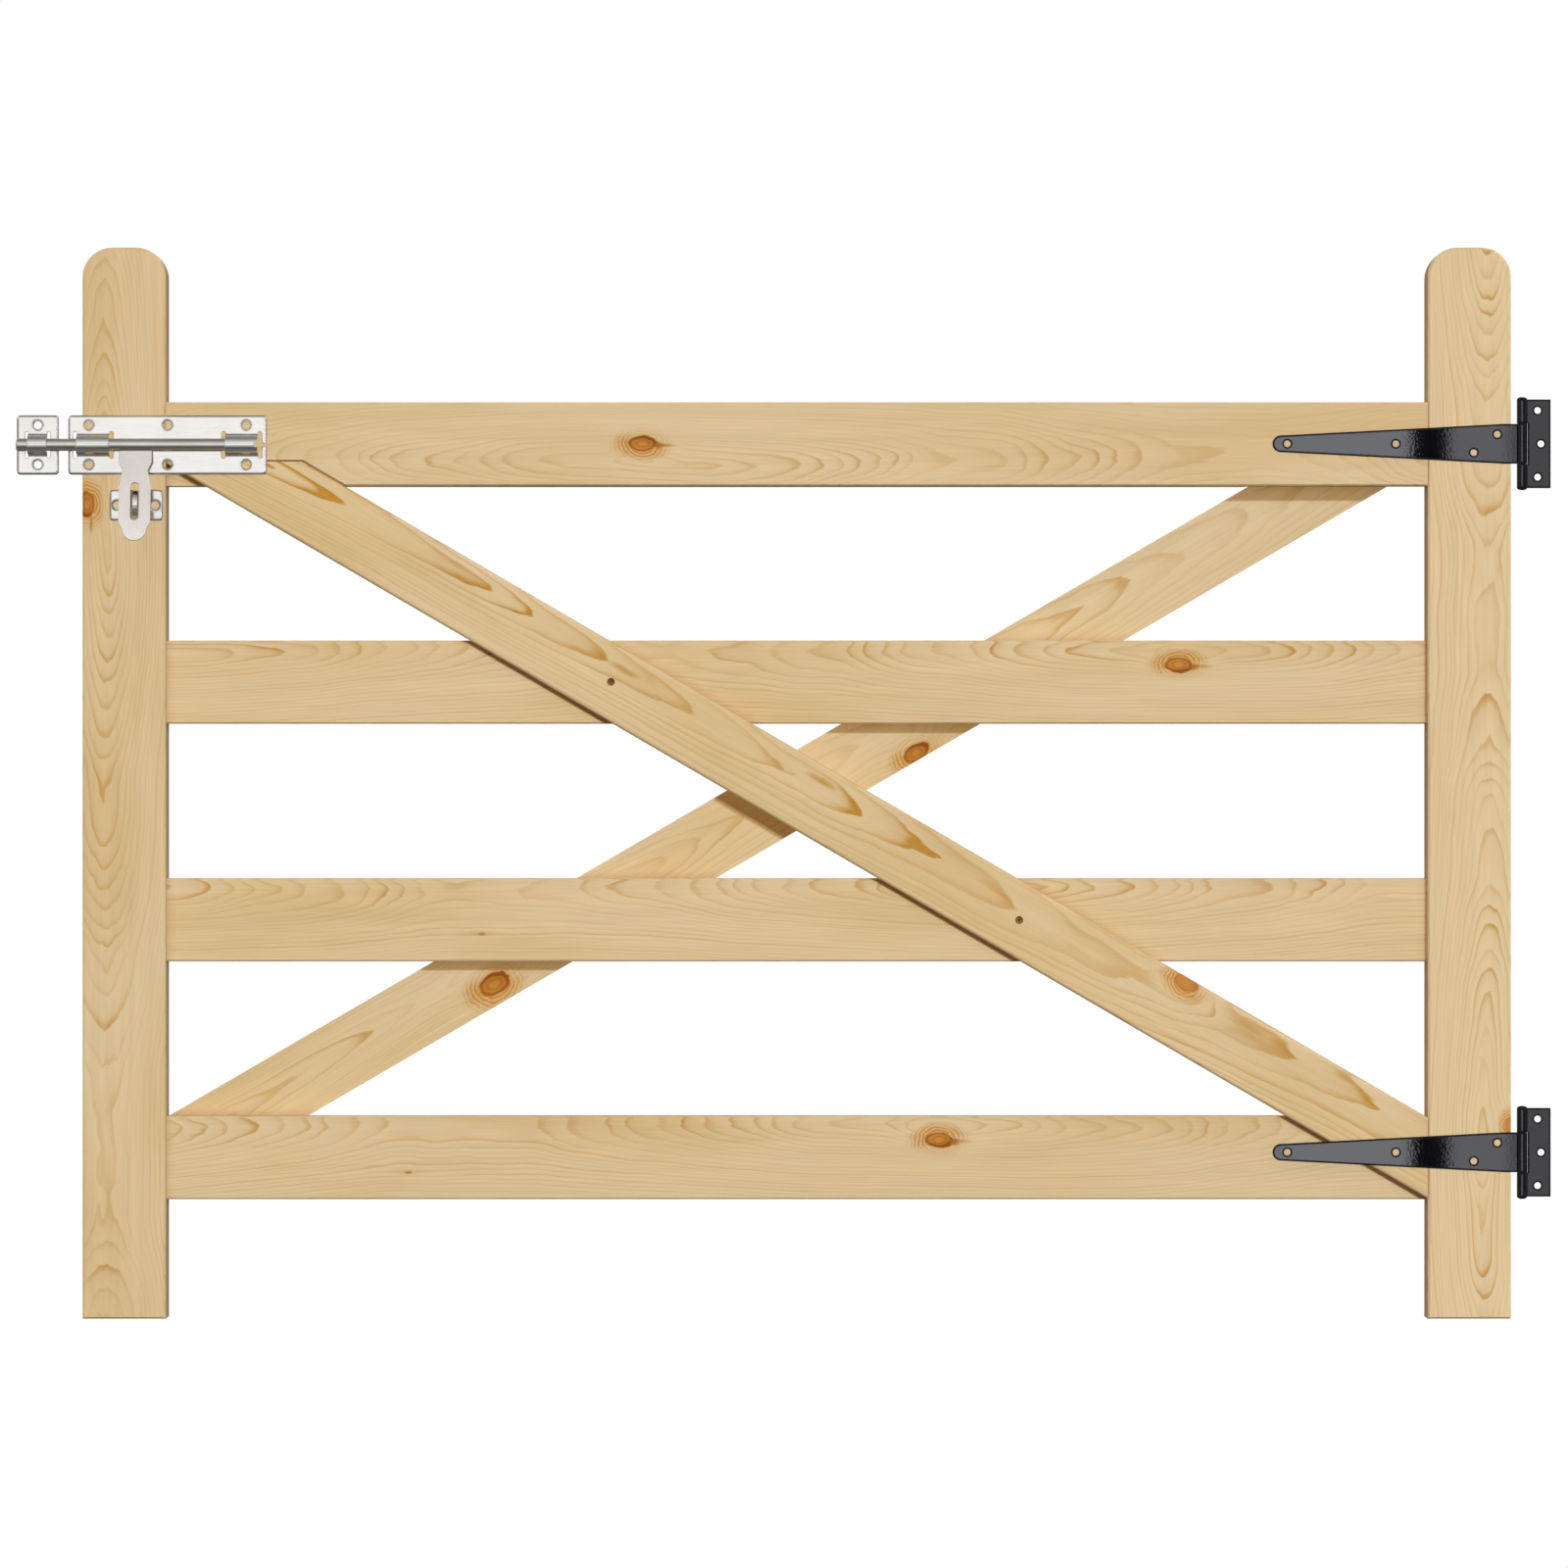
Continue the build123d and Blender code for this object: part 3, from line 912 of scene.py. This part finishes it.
@dataclass(frozen=True)
class Steel:
    """Bright steel, polished or brushed.

    Attributes:
        name: the material's name.
        base: the metal's colour.
        dull: its colour where it is less bright.
        roughness: how far it blurs what it mirrors.
        brush: fineness of the brush marks along each axis.
        relief: depth of the brush marks, in metres.
        brush_blur: how much they change the roughness.
        cloud: fineness of the duller patches.
        cloud_blur: how much they change it.
        edge: how far each edge is rounded off.
        metallic: 1 for clean metal and less under a dull layer.
        painted_shade_colour: the colour of the shade painted into corners.
        painted_shade_reach: how far from a corner that painted shade reaches.
    """

    name: str
    base: Colour
    dull: Colour
    roughness: float
    brush: Point
    relief: float
    brush_blur: float = 0.16
    cloud: Point = (22.0, 22.0, 22.0)
    cloud_blur: float = 0.08
    edge: float = 0.0013
    metallic: float = 1.0
    painted_shade_colour: Colour = srgb(96, 90, 82)
    painted_shade_reach: float = 0.0025

    def material(self) -> bpy.types.Material:
        """Makes the finish.

        Returns:
            The material.
        """
        finish = Finish(self.name)
        brushed = finish.noise(finish.place, self.brush, 3.0, 0.65)
        cloud = finish.noise(finish.place, self.cloud)
        tone = finish.smooth(cloud * 0.6 + brushed * 0.4, 0.3, 0.7)
        # Painted shade: occlusion within the piece darkens its colour in corners and hollows.
        unshaded = finish.smooth(finish.open_share(self.painted_shade_reach, True), 0.3, 0.85)
        return finish.close(
            Base_Color=finish.blend(unshaded, self.painted_shade_colour, finish.blend(tone, self.base, self.dull)),
            Metallic=self.metallic,
            Roughness=self.roughness + (brushed - 0.5) * self.brush_blur + (cloud - 0.5) * self.cloud_blur,
            Normal=finish.bump(brushed, self.relief, finish.eased(self.edge)),
        )


@dataclass
class WoodenFrame:
    """The stiles, rails and braces.

    Attributes:
        boards: every board of the gate.
        finish: what they are made of.
        steel: finish of the brace screws.
        head_radius: of a brace screw.
        head_height: of a brace screw, from its top to its shank.
        rim_share: how much of that height is the head's straight rim.
        shank_radius: of a brace screw.
        shank_share: where along the screw its point begins.
        recess: length, width and depth of each bar of the cross in a screw's head.
    """

    boards: tuple[Board, ...]
    finish: Pine
    steel: Steel
    head_radius: float = 0.0031
    head_height: float = 0.002
    rim_share: float = 0.25
    shank_radius: float = 0.0018
    shank_share: float = 0.8
    recess: Point = (0.0036, 0.0008, 0.0013)

    def dress(self) -> None:
        """Gives each board its own grain."""
        for board in self.boards:
            dress(board.node, self.finish.material(board))

    def build(self) -> None:
        """Makes the brace screws, two from each side."""
        nodes = ("front_brace_screws", "rear_brace_screws")
        places, facings = self.screw_places(*nodes)
        base = dotted("brace_screws", places)
        facing = base.attributes.new("facing", "FLOAT_VECTOR", "POINT")
        facing.data.foreach_set("vector", [number for direction in facings for number in direction])
        low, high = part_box(nodes[0])
        recipe = Recipe("brace_screws")
        length = recipe.size("Length", high.y - low.y)
        head = recipe.size("Head Radius", self.head_radius)
        sink = recipe.size("Head Height", self.head_height)
        shank = recipe.size("Shank Radius", self.shank_radius)
        stations = [(0.0, -length), (shank, length * -self.shank_share), (shank, -sink)]
        stations += [(head, sink * -self.rim_share), (head, 0.0), (0.0, 0.0)]
        long, wide, deep = self.recess
        sizes = ((long, wide, deep), (wide, long, deep))
        bars = [recipe.make("GeometryNodeMeshCube", None, {"Size": size}) for size in sizes]
        inputs = {"Mesh 1": recipe.lathe(stations), "Mesh 2": bars}
        cut = recipe.make("GeometryNodeMeshBoolean", {"operation": "DIFFERENCE"}, inputs)
        screws = recipe.repeat(cut, recipe.field("facing"))
        seat(recipe.piece(screws, base, self.steel.material()), "gate", "screw_steel", *nodes)

    def screw_places(self, front: str, rear: str) -> tuple[list[Point], list[Point]]:
        """Finds the screws' heads.

        Args:
            front: node of the screws driven from the front, which fall from the latch side to the hinge side.
            rear: node of those driven from the back, which rise.

        Returns:
            The middle of each head's top, and which way it faces.
        """
        inset = self.head_radius
        low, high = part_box(front)
        places = [(low.x + inset, low.y, high.z - inset), (high.x - inset, low.y, low.z + inset)]
        low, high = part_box(rear)
        places += [(low.x + inset, high.y, low.z + inset), (high.x - inset, high.y, high.z - inset)]
        return places, [(0.0, -1.0, 0.0)] * 2 + [(0.0, 1.0, 0.0)] * 2


@dataclass
class Hinges:
    """The two T-hinges.

    Attributes:
        coat: their finish.
        shaft_radius: of a hinge pin.
        head_radius: of a pin's head where it sits on the knuckle.
        crown_radius: of the flat at the top of a pin's head.
        head_height: of a pin's head.
        rim_drop: how far below its top the rim ends, as a share of that height.
        dome_drop: how far below its top the dome's middle lies, as a share of that height.
        dome_share: how far out the dome's middle lies, from 0 at the crown to 1 at the rim.
    """

    coat: BlackCoat
    shaft_radius: float = 0.00235
    head_radius: float = 0.0042
    crown_radius: float = 0.0017
    head_height: float = 0.0018
    rim_drop: float = 0.85
    dome_drop: float = 0.4
    dome_share: float = 0.72

    def dress(self) -> None:
        """Coats the straps and plates, and makes the pins."""
        material = self.coat.material()
        for level in ("upper", "lower"):
            for piece in ("hinge_strap", "post_plate"):
                dress(f"{level}_{piece}", material, shadow=False)
        self.build_pins(material)

    def build_pins(self, material: bpy.types.Material) -> None:
        """Turns the two pins, with a crowned head at each end.

        Args:
            material: their finish.
        """
        nodes = ("upper_hinge_pin", "lower_hinge_pin")
        boxes = [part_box(node) for node in nodes]
        base = dotted("hinge_pins", [(low + high) / 2 for low, high in boxes])
        recipe = Recipe("hinge_pins")
        reach = recipe.size("Half Length", (boxes[0][1].z - boxes[0][0].z) / 2)
        rise = recipe.size("Head Height", self.head_height)
        shaft = recipe.size("Shaft Radius", self.shaft_radius)
        head = recipe.size("Head Radius", self.head_radius)
        crown = recipe.size("Crown Radius", self.crown_radius)
        dome = head * self.dome_share + crown * (1.0 - self.dome_share)
        upper = [(shaft, reach - rise), (head, reach - rise), (head, reach - rise * self.rim_drop)]
        upper += [(dome, reach - rise * self.dome_drop), (crown, reach), (0.0, reach)]
        lower = [(radius, -height) for radius, height in reversed(upper)]
        pins = recipe.repeat(recipe.lathe(lower + upper))
        seat(recipe.piece(pins, base, material), "post_side", "black_coat", *nodes)


@dataclass
class PadlockBolt:
    """The bolt with its plates, hasp, staple and keeper.

    Attributes:
        bright: finish of the pressed plates.
        satin: finish of the hasp.
        rod: finish of the rod.
        staple_bar: width and thickness of the staple's bar.
        staple_edge: how far the bar's edges are rounded.
        edge_points: in how many points each edge is rounded.
        arch_steps: in how many steps the bar is bent.
    """

    bright: Steel
    satin: Steel
    rod: Steel
    staple_bar: Pair = (0.0054, 0.0032)
    staple_edge: float = 0.0008
    edge_points: int = 4
    arch_steps: int = 24

    def dress(self) -> None:
        """Finishes each piece of the bolt, and makes the staple."""
        bright = self.bright.material()
        for node in ("bolt_plate", "keeper_plate", "staple_plate"):
            dress(node, bright, shadow=False)
        dress("hasp", self.satin.material(), shadow=False)
        dress("bolt_rod", self.rod.material(), shadow=False)
        self.build_staple(bright)

    def build_staple(self, material: bpy.types.Material) -> None:
        """Bends the staple's rounded bar into a loop that stands on its plate.

        Args:
            material: its finish.
        """
        node = "staple_loop"
        wide, thick = self.staple_bar
        low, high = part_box(node)
        x, _, z = (low + high) / 2
        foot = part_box("staple_plate")[0].y
        bend = (high.z - low.z - thick) / 2
        spring = low.y + thick / 2 + bend
        turns = [math.pi * step / self.arch_steps for step in range(self.arch_steps + 1)]
        arch = [(x, spring - bend * math.sin(turn), z + bend * math.cos(turn)) for turn in turns]
        path = [(x, foot, z + bend), *arch, (x, foot, z - bend)]
        recipe = Recipe("staple_bar")
        inputs = {"Width": recipe.size("Bar Width", wide), "Height": recipe.size("Bar Thickness", thick)}
        bar = recipe.make("GeometryNodeCurvePrimitiveQuadrilateral", None, inputs)
        edge = recipe.size("Edge Radius", self.staple_edge)
        inputs = {"Curve": bar, "Radius": edge, "Count": self.edge_points}
        section = recipe.make("GeometryNodeFilletCurve", {"mode": "POLY"}, inputs)
        line = recipe.make("GeometryNodeMeshToCurve", None, {"Mesh": recipe.start})
        inputs = {"Curve": line, "Profile Curve": section, "Fill Caps": True}
        loop = recipe.make("GeometryNodeCurveToMesh", None, inputs)
        seat(recipe.piece(loop, dotted("staple_path", path, True), material), "gate", "bright_steel", node)


@dataclass
class Card:
    """A white card that only shines in what is polished.

    Attributes:
        name: the light's name.
        west: its left edge, in metres.
        east: its right edge.
        low: its lower edge.
        high: its upper edge.
        radiance: how bright it looks.
        colour: its colour.
        depth: its place in front of the gate.
    """

    name: str
    west: float
    east: float
    low: float
    high: float
    radiance: float
    colour: Colour
    depth: float = -0.7

    def build(self) -> None:
        """Hangs the card as an area light that neither the camera nor dull surfaces see."""
        light = bpy.data.lights.new(self.name, "AREA")
        light.color = self.colour
        light.shape = "RECTANGLE"
        light.size = self.east - self.west
        light.size_y = self.high - self.low
        light.energy = self.radiance * math.pi * light.size * light.size_y
        lamp = add(self.name, light)
        lamp.location = ((self.west + self.east) / 2, self.depth, (self.low + self.high) / 2)
        lamp.rotation_euler = FACING_BACK
        lamp.visible_camera = False
        lamp.visible_diffuse = False


@dataclass
class Sun:
    """A far light that lights dull surfaces and isn't mirrored in polished ones.

    Attributes:
        name: the light's name.
        direction: where it shines to.
        strength: how bright it is.
        colour: its colour.
        shadows: whether things throw shadows in it.
        angle: how wide it is, in degrees, which softens its shadows.
        blockers: the only nodes that throw a shadow in it, or none where all do.
    """

    name: str
    direction: Point
    strength: float
    colour: Colour
    shadows: bool = True
    angle: float = 4.0
    blockers: tuple[str, ...] = ()

    def build(self) -> None:
        """Hangs the light."""
        light = bpy.data.lights.new(self.name, "SUN")
        light.energy = self.strength
        light.color = self.colour
        light.angle = math.radians(self.angle)
        light.use_shadow = self.shadows
        lamp = add(self.name, light)
        lamp.rotation_euler = Vector(self.direction).to_track_quat("-Z", "Y").to_euler()
        lamp.visible_glossy = False
        if self.blockers:
            group = bpy.data.collections.new(f"{self.name}_blockers")
            for node in self.blockers:
                group.objects.link(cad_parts[node])
            lamp.light_linking.blocker_collection = group


@dataclass
class Studio:
    """Camera, lights and floor.

    Attributes:
        frame_width: width of the picture at the gate's front, in metres.
        centre: what the camera looks at, on the gate's front.
        distance: how far the camera is from the gate's front.
        sensor: width of the camera's sensor, in millimetres.
        far: how far the camera sees.
        fill: strength of the light from all round.
        fill_colour: its colour.
        fill_stops: pairs of height, from 0 straight down to 1 straight up, and the fill's brightness there.
        gleam_stops: the same for what polished pieces mirror.
        floor_gap: how far the gate hangs above the floor.
        floor_reach: how far the floor reaches to each side.
        flag_edges: left and right edge of the dark band that the hinges mirror.
        flag_heights: its lower and upper edge.
        flag_depth: its place in front of the gate.
        card_height: height of the cards that the hinges mirror.
    """

    frame_width: float = 1.3171
    centre: Point = (-0.6329, 0.0, 0.3093)
    distance: float = 7.85
    sensor: float = 36.0
    far: float = 100.0
    fill: float = 0.185
    fill_colour: Colour = (1.17, 0.89, 0.54)
    fill_stops: tuple[Pair, ...] = (
        (0.0, 0.25), (0.3, 0.55), (0.47, 0.7), (0.55, 1.0), (0.8, 1.5), (1.0, 1.3),
    )
    gleam_stops: tuple[Pair, ...] = (
        (0.0, 0.22), (0.06, 0.22), (0.12, 0.14), (0.24, 0.16), (0.3, 0.6), (0.43, 0.68), (0.5, 0.3),
        (0.57, 0.7), (0.62, 0.82), (0.66, 1.15), (0.69, 1.35), (0.74, 0.98), (0.86, 0.82), (1.0, 0.32),
    )
    floor_gap: float = 0.05
    floor_reach: float = 6.0
    flag_edges: Pair = (-0.0598, -0.0252)
    flag_heights: Pair = (-0.3, 0.95)
    flag_depth: float = -0.71
    card_height: float = 0.2

    def build(self) -> None:
        """Sets up everything round the gate."""
        self.camera()
        self.sky()
        self.floor()
        self.flag()
        for lamp in (*self.suns(), *self.cards()):
            lamp.build()
        bpy.context.scene.view_settings.view_transform = "Standard"

    @staticmethod
    def suns() -> tuple[Sun, ...]:
        """Lists the far lights: a key and its fills on each face, and one light along each side.

        Returns:
            The lights.
        """
        braces = ("front_brace", "rear_brace")
        side = (1.0, 0.97, 0.92)
        return (
            Sun("key", (-0.2, 1.0, -0.374), 1.52, (0.885, 1.015, 1.24)),
            Sun("front_fill", (-0.16, 1.0, -0.3), 1.1, (1.04, 0.96, 0.76), blockers=braces),
            Sun("shade_fill", (-0.1, 1.0, -0.2), 0.25, (1.0, 0.55, 0.3), shadows=False),
            Sun("back_key", (0.12, -1.0, -0.3), 1.3, (0.95, 1.0, 1.08)),
            Sun("back_fill", (0.0, -1.0, 0.0), 1.1, (1.1, 0.97, 0.78), shadows=False),
            Sun("west_side", (1.0, 0.0, 0.0), 0.9, side, angle=0.0),
            Sun("east_side", (-1.0, 0.0, 0.0), 0.9, side, angle=0.0),
        )

    def cards(self) -> list[Card]:
        """Lists the cards that the bolt, the hasp and each piece of the hinges mirror.

        Returns:
            The cards.
        """
        cards = [
            Card("bolt_card", -1.50, -0.98, 0.515, 0.72, 1.08, WARM_WHITE),
            Card("hasp_card", -1.40, -0.96, 0.885, 0.95, 0.6, WARM_WHITE),
        ]
        west, east = self.flag_edges
        spans = (("strap", -0.22, west, 8.3), ("knuckle", east, 0.03, 5.6), ("post", 0.03, 0.14, 2.9))
        for level, low in (("upper", 0.52), ("lower", -0.13)):
            for piece, left, right, radiance in spans:
                name = f"{level}_{piece}_card"
                cards.append(Card(name, left, right, low, low + self.card_height, radiance, COOL_WHITE))
        return cards

    def camera(self) -> None:
        """Places the camera square to the gate's front."""
        data = bpy.data.cameras.new("camera")
        data.sensor_width = self.sensor
        data.lens = self.sensor * self.distance / self.frame_width
        data.clip_end = self.far
        camera = add("camera", data)
        camera.location = (self.centre[0], self.centre[1] - self.distance, self.centre[2])
        camera.rotation_euler = FACING_BACK
        bpy.context.scene.camera = camera

    def sky(self) -> None:
        """Makes a warm grey studio that is white behind the gate and darker in what mirrors it."""
        world = bpy.data.worlds.new("studio")
        world.use_nodes = True
        bpy.context.scene.world = world
        graph = Graph(world.node_tree)
        direction = graph.make("ShaderNodeTexCoord", None, None, "Generated")
        height = {"Fac": graph.split(direction)[2] * 0.5 + 0.5}
        tone = graph.make("ShaderNodeValToRGB", {"stops": self.fill_stops}, height)
        warm = graph.vector("MULTIPLY", tone, self.fill_colour)
        soft = graph.make("ShaderNodeBackground", None, {"Color": warm, "Strength": self.fill})
        mirrored = graph.make("ShaderNodeValToRGB", {"stops": self.gleam_stops}, height)
        gloss = graph.make("ShaderNodeBackground", None, {"Color": mirrored, "Strength": 1.0})
        white = graph.make("ShaderNodeBackground", None, {"Color": WHITE, "Strength": 1.0})
        ray = graph.make("ShaderNodeLightPath", None, None, "Is Glossy Ray")
        seen = Wire(graph, graph.pick(ray.socket.node.outputs, "Is Camera Ray"))
        both = graph.make("ShaderNodeMixShader", None, {0: ray, 1: soft, 2: gloss})
        every = graph.make("ShaderNodeMixShader", None, {0: seen, 1: both, 2: white})
        graph.make("ShaderNodeOutputWorld", None, {"Surface": every})

    def floor(self) -> None:
        """Lays a plain pale floor under the hung gate."""
        x, y, _ = self.centre
        z = CAD_BOX[0].z - self.floor_gap
        signs = ((-1, -1), (1, -1), (1, 1), (-1, 1))
        corners = [(x + side * self.floor_reach, y + end * self.floor_reach, z) for side, end in signs]
        material = Finish("pale_floor").close(Emission_Color=WHITE, Emission_Strength=1.0, **NO_SHINE)
        floor = self.screen("floor", corners, material)
        floor.visible_glossy = False

    def flag(self) -> None:
        """Hangs a narrow black screen between two cards, which the hinges mirror as a dark band."""
        west, east = self.flag_edges
        low, high = self.flag_heights
        y = self.flag_depth
        corners = [(west, y, low), (east, y, low), (east, y, high), (west, y, high)]
        flag = self.screen("flag", corners, Finish("black_screen").close(**NO_SHINE))
        flag.visible_camera = False
        flag.visible_shadow = False

    @staticmethod
    def screen(name: str, corners: list[Point], material: bpy.types.Material) -> bpy.types.Object:
        """Makes one flat face that gives the gate no light.

        Args:
            name: the screen's name.
            corners: its corners.
            material: its finish.

        Returns:
            The screen, which diffuse rays don't see.
        """
        mesh = bpy.data.meshes.new(name)
        mesh.from_pydata(corners, [], [tuple(range(len(corners)))])
        mesh.materials.append(material)
        screen = add(name, mesh)
        screen.visible_diffuse = False
        return screen


def bare(x: float, z: float, length: float, width: float, core: float, **more: float) -> Knot:
    """Makes a mark with no bark line and no arcs, such as a streak of resin.

    Args:
        x: place along the gate, in metres.
        z: height, in metres.
        length: half length along the grain.
        width: half width across the grain.
        core: how brown it is.
        more: what else sets it apart.

    Returns:
        The mark.
    """
    return Knot(x, z, length, width, core, **{"rim": 0.0, "swirl": 0.0, "halo": 0.0, **more})


def horned(x: float, z: float, lean: Pair) -> tuple[Knot, ...]:
    """Makes a knot with the dark horn and the streak that run from it along a rail.

    Args:
        x: place along the gate, in metres.
        z: height, in metres.
        lean: the side where the bark line is thickest.

    Returns:
        The knot, its horn and its streak.
    """
    return (
        Knot(x, z, 0.0120, 0.0064, lean=lean),
        bare(x + 0.0128, z - 0.0014, 0.0062, 0.0042, 0.85, tone=0.7, edge=0.3),
        bare(x + 0.0190, z - 0.0012, 0.0130, 0.0026, 0.7, tone=0.35, edge=0.0),
    )


def pinned(x: float, z: float) -> tuple[Knot, ...]:
    """Makes a small pin knot with the faint streak that it lies in.

    Args:
        x: place along the gate, in metres.
        z: height, in metres.

    Returns:
        The streak and the knot.
    """
    return (
        bare(x - 0.002, z + 0.0006, 0.026, 0.0036, 0.3, swirl=0.002, edge=0.0),
        bare(x, z, 0.0046, 0.0019, 0.8, tone=0.45, edge=0.3),
    )


BOARDS = (
    Board(
        "latch_stile", Grain.UPRIGHT, seed=3.1, heart_across=0.0168, nearest=0.235, half_wave=0.54,
        contrast=0.68, tint=0.965,
        knots=(
            Knot(-1.2182, 0.5439, 0.0110, 0.0068, tone=0.1, lean=(-0.6, 0.5), taper=1.1),
            bare(-1.2150, 0.5270, 0.0130, 0.0022, 0.8, tone=0.4, edge=0.0, taper=1.3),
        ),
    ),
    Board(
        "hinge_stile", Grain.UPRIGHT, seed=8.4, heart_across=-0.015, nearest=-0.29, half_wave=0.44,
        tint=1.015, warmth=-0.24,
        knots=(Knot(-0.0228, 0.0225, 0.0080, 0.0050, 0.4, 0.3, lean=(0.2, -0.8), taper=1.1),),
    ),
    Board(
        "top_rail", Grain.LEVEL, seed=12.7, heart_across=-0.0135, nearest=-0.126,
        contrast=0.64, tint=0.98, knots=horned(-0.7516, 0.5950, (0.5, 0.85)),
    ),
    Board(
        "upper_middle_rail", Grain.LEVEL, seed=17.9, heart_across=0.027, nearest=0.3186, half_wave=0.42,
        tint=0.98, knots=horned(-0.3008, 0.4095, (0.4, -0.9)),
    ),
    Board(
        "lower_middle_rail", Grain.LEVEL, seed=23.3, heart_across=0.028, nearest=0.145, half_wave=0.39,
        tint=0.985, warmth=-0.08, knots=pinned(-0.8868, 0.1829),
    ),
    Board(
        "bottom_rail", Grain.LEVEL, seed=29.6, heart_across=0.027, nearest=0.1227, half_wave=0.4,
        tint=0.965, knots=(*horned(-0.5026, 0.0100, (0.4, -0.9)), *pinned(-0.949, -0.0175)),
    ),
    Board(
        "front_brace", Grain.FALLING, seed=35.2, heart_across=0.041, nearest=-0.62, half_wave=1.3,
        slope=0.042, ring=0.0034, contrast=1.3, flame=0.5,
        knots=(
            Knot(-0.2953, 0.1422, 0.011, 0.007, 0.35, 0.3, tone=0.1),
            bare(-0.6016, 0.3118, 0.019, 0.0040, 0.8, edge=0.2),
            bare(-0.7671, 0.4048, 0.020, 0.0038, 0.7, edge=0.2),
        ),
    ),
    Board(
        "rear_brace", Grain.RISING, seed=41.8, heart_across=0.036, nearest=-0.62, half_wave=1.3,
        slope=0.045, contrast=0.74, tint=0.972,
        knots=(
            Knot(-0.5217, 0.3356, 0.0120, 0.0070, tone=0.15),
            Knot(-0.8773, 0.1405, 0.0140, 0.0090, tone=0.15),
        ),
    ),
)
# The screws' darker brown in the corners of their heads is painted shade.
ZINC = Steel(
    "dull_zinc", srgb(176, 138, 78), srgb(148, 112, 58), roughness=0.38, brush=(400.0, 400.0, 400.0),
    relief=0.000004, metallic=0.4, painted_shade_colour=srgb(92, 64, 30),
)
POLISHED = Steel(
    "polished_steel", srgb(206, 204, 201), srgb(196, 194, 191), roughness=0.14, brush=(60.0, 900.0, 900.0),
    relief=0.000001,
)
BRUSHED = Steel(
    "brushed_steel", srgb(214, 209, 202), srgb(204, 199, 192), roughness=0.22, brush=(900.0, 900.0, 45.0),
    relief=0.000004,
)
ROD = Steel(
    "rod_steel", srgb(196, 192, 185), srgb(184, 179, 171), roughness=0.2, brush=(30.0, 1200.0, 1200.0),
    relief=0.000002,
)


def main() -> None:
    """Builds the studio and dresses the gate."""
    logging.basicConfig(level=logging.INFO, format="%(message)s")
    Studio().build()
    gate = WoodenFrame(BOARDS, Pine(), ZINC)
    gate.dress()
    gate.build()
    Hinges(BlackCoat()).dress()
    PadlockBolt(POLISHED, BRUSHED, ROD).dress()


if __name__ == "__main__":
    main()
